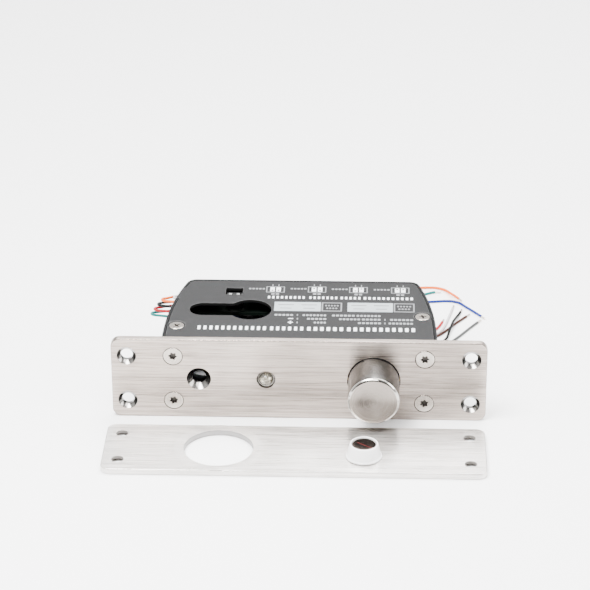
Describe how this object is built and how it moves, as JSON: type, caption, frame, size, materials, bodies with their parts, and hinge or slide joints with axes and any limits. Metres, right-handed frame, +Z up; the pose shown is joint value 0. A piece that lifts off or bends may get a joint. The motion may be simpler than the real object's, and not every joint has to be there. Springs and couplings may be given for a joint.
{
  "type": "electric bolt lock",
  "caption": "Mortise electric bolt lock for a euro-profile cylinder: brushed faceplate, solenoid-driven round bolt, wire tails and a loose strike plate with magnet cup.",
  "frame": {"origin": "on the surface the parts stand on, under the middle of the box round lock and strike plate (wires left out)", "axes": "+X along the faceplate towards the bolt's end, +Y from the faceplate into the case, +Z up across the faceplate's width"},
  "size_m": [0.1541, 0.1642, 0.035],
  "materials": {
    "stainless": "brushed along the length",
    "stainless_strike": "brushed along the length, lighter",
    "turned_steel": "fine turned",
    "screw_steel": "bright",
    "case_grey": "satin dark grey",
    "cover_grey": "satin grey with printed marks",
    "rubber": "matt",
    "black_plastic": "moulded",
    "white_plastic": "moulded",
    "led_clear": "clear lens",
    "enamelled_wire": "enamelled winding",
    "zinc": "zinc plated",
    "brass": "turned",
    "board_green": "solder mask",
    "relay_blue": "moulded",
    "magnet_grey": "plated magnet",
    "glass": "clear",
    "wire_orange_insulation": "extruded wire insulation",
    "wire_black_insulation": "extruded wire insulation",
    "wire_red_insulation": "extruded wire insulation",
    "wire_teal_insulation": "extruded wire insulation",
    "wire_white_insulation": "extruded wire insulation",
    "wire_blue_insulation": "extruded wire insulation",
    "wire_brown_insulation": "extruded wire insulation",
    "wire_grey_insulation": "extruded wire insulation"
  },
  "bodies": {
    "lock": {"faceplate": "stainless", "faceplate_screw_1": "screw_steel", "faceplate_screw_2": "screw_steel", "faceplate_screw_3": "screw_steel", "faceplate_screw_4": "screw_steel", "cover_screw_1": "screw_steel", "cover_screw_2": "screw_steel", "solenoid_screw_1": "screw_steel", "solenoid_screw_2": "screw_steel", "board_screw_1": "zinc", "board_screw_2": "zinc", "case_body": "case_grey", "case_cover": "cover_grey", "wire_grommet": "rubber", "led_holder": "black_plastic", "led_lens": "led_clear", "bolt_guide": "brass", "solenoid_frame": "zinc", "solenoid_coil": "enamelled_wire", "return_spring": "zinc", "spring_guide_pin": "zinc", "circuit_board": "board_green", "dip_switch_body": "black_plastic", "relay": "relay_blue", "capacitor": "black_plastic", "bolt_switch_body": "black_plastic", "reed_holder": "black_plastic", "reed_switch": "glass", "wire_orange": "wire_orange_insulation", "wire_black": "wire_black_insulation", "wire_red": "wire_red_insulation", "wire_teal": "wire_teal_insulation", "wire_white": "wire_white_insulation", "wire_blue": "wire_blue_insulation", "wire_brown": "wire_brown_insulation", "wire_grey": "wire_grey_insulation"},
    "bolt": {"bolt": "turned_steel", "link_plate": "zinc", "link_screw": "zinc", "solenoid_plunger": "zinc", "plunger_clip": "zinc"},
    "dip_slider_1": {"dip_slider_1": "white_plastic"},
    "dip_slider_2": {"dip_slider_2": "white_plastic"},
    "switch_button": {"bolt_switch_button": "white_plastic"},
    "strike": {"strike_plate": "stainless_strike", "magnet_holder": "white_plastic", "magnet": "magnet_grey"}
  },
  "joints": [
    {"name": "bolt_slide", "type": "slide", "parent": "lock", "child": "bolt", "axis": [0, 1, 0], "range_m": [0, 0.017], "stiffness_N_per_m": 180, "springref_m": -0.008, "deforming": ["return_spring"]},
    {"name": "dip_1_slide", "type": "slide", "parent": "lock", "child": "dip_slider_1", "axis": [0, 1, 0], "range_m": [0, 0.0016]},
    {"name": "dip_2_slide", "type": "slide", "parent": "lock", "child": "dip_slider_2", "axis": [0, 1, 0], "range_m": [0, 0.0016]},
    {"name": "switch_button_press", "type": "slide", "parent": "lock", "child": "switch_button", "axis": [0, 1, 0], "range_m": [0, 0.0006], "stiffness_N_per_m": 300, "springref_m": -0.001},
    {"name": "strike_slide", "type": "slide", "parent": "lock", "child": "strike", "axis": [0, -1, 0], "range_m": [0, 0.06]}
  ]
}
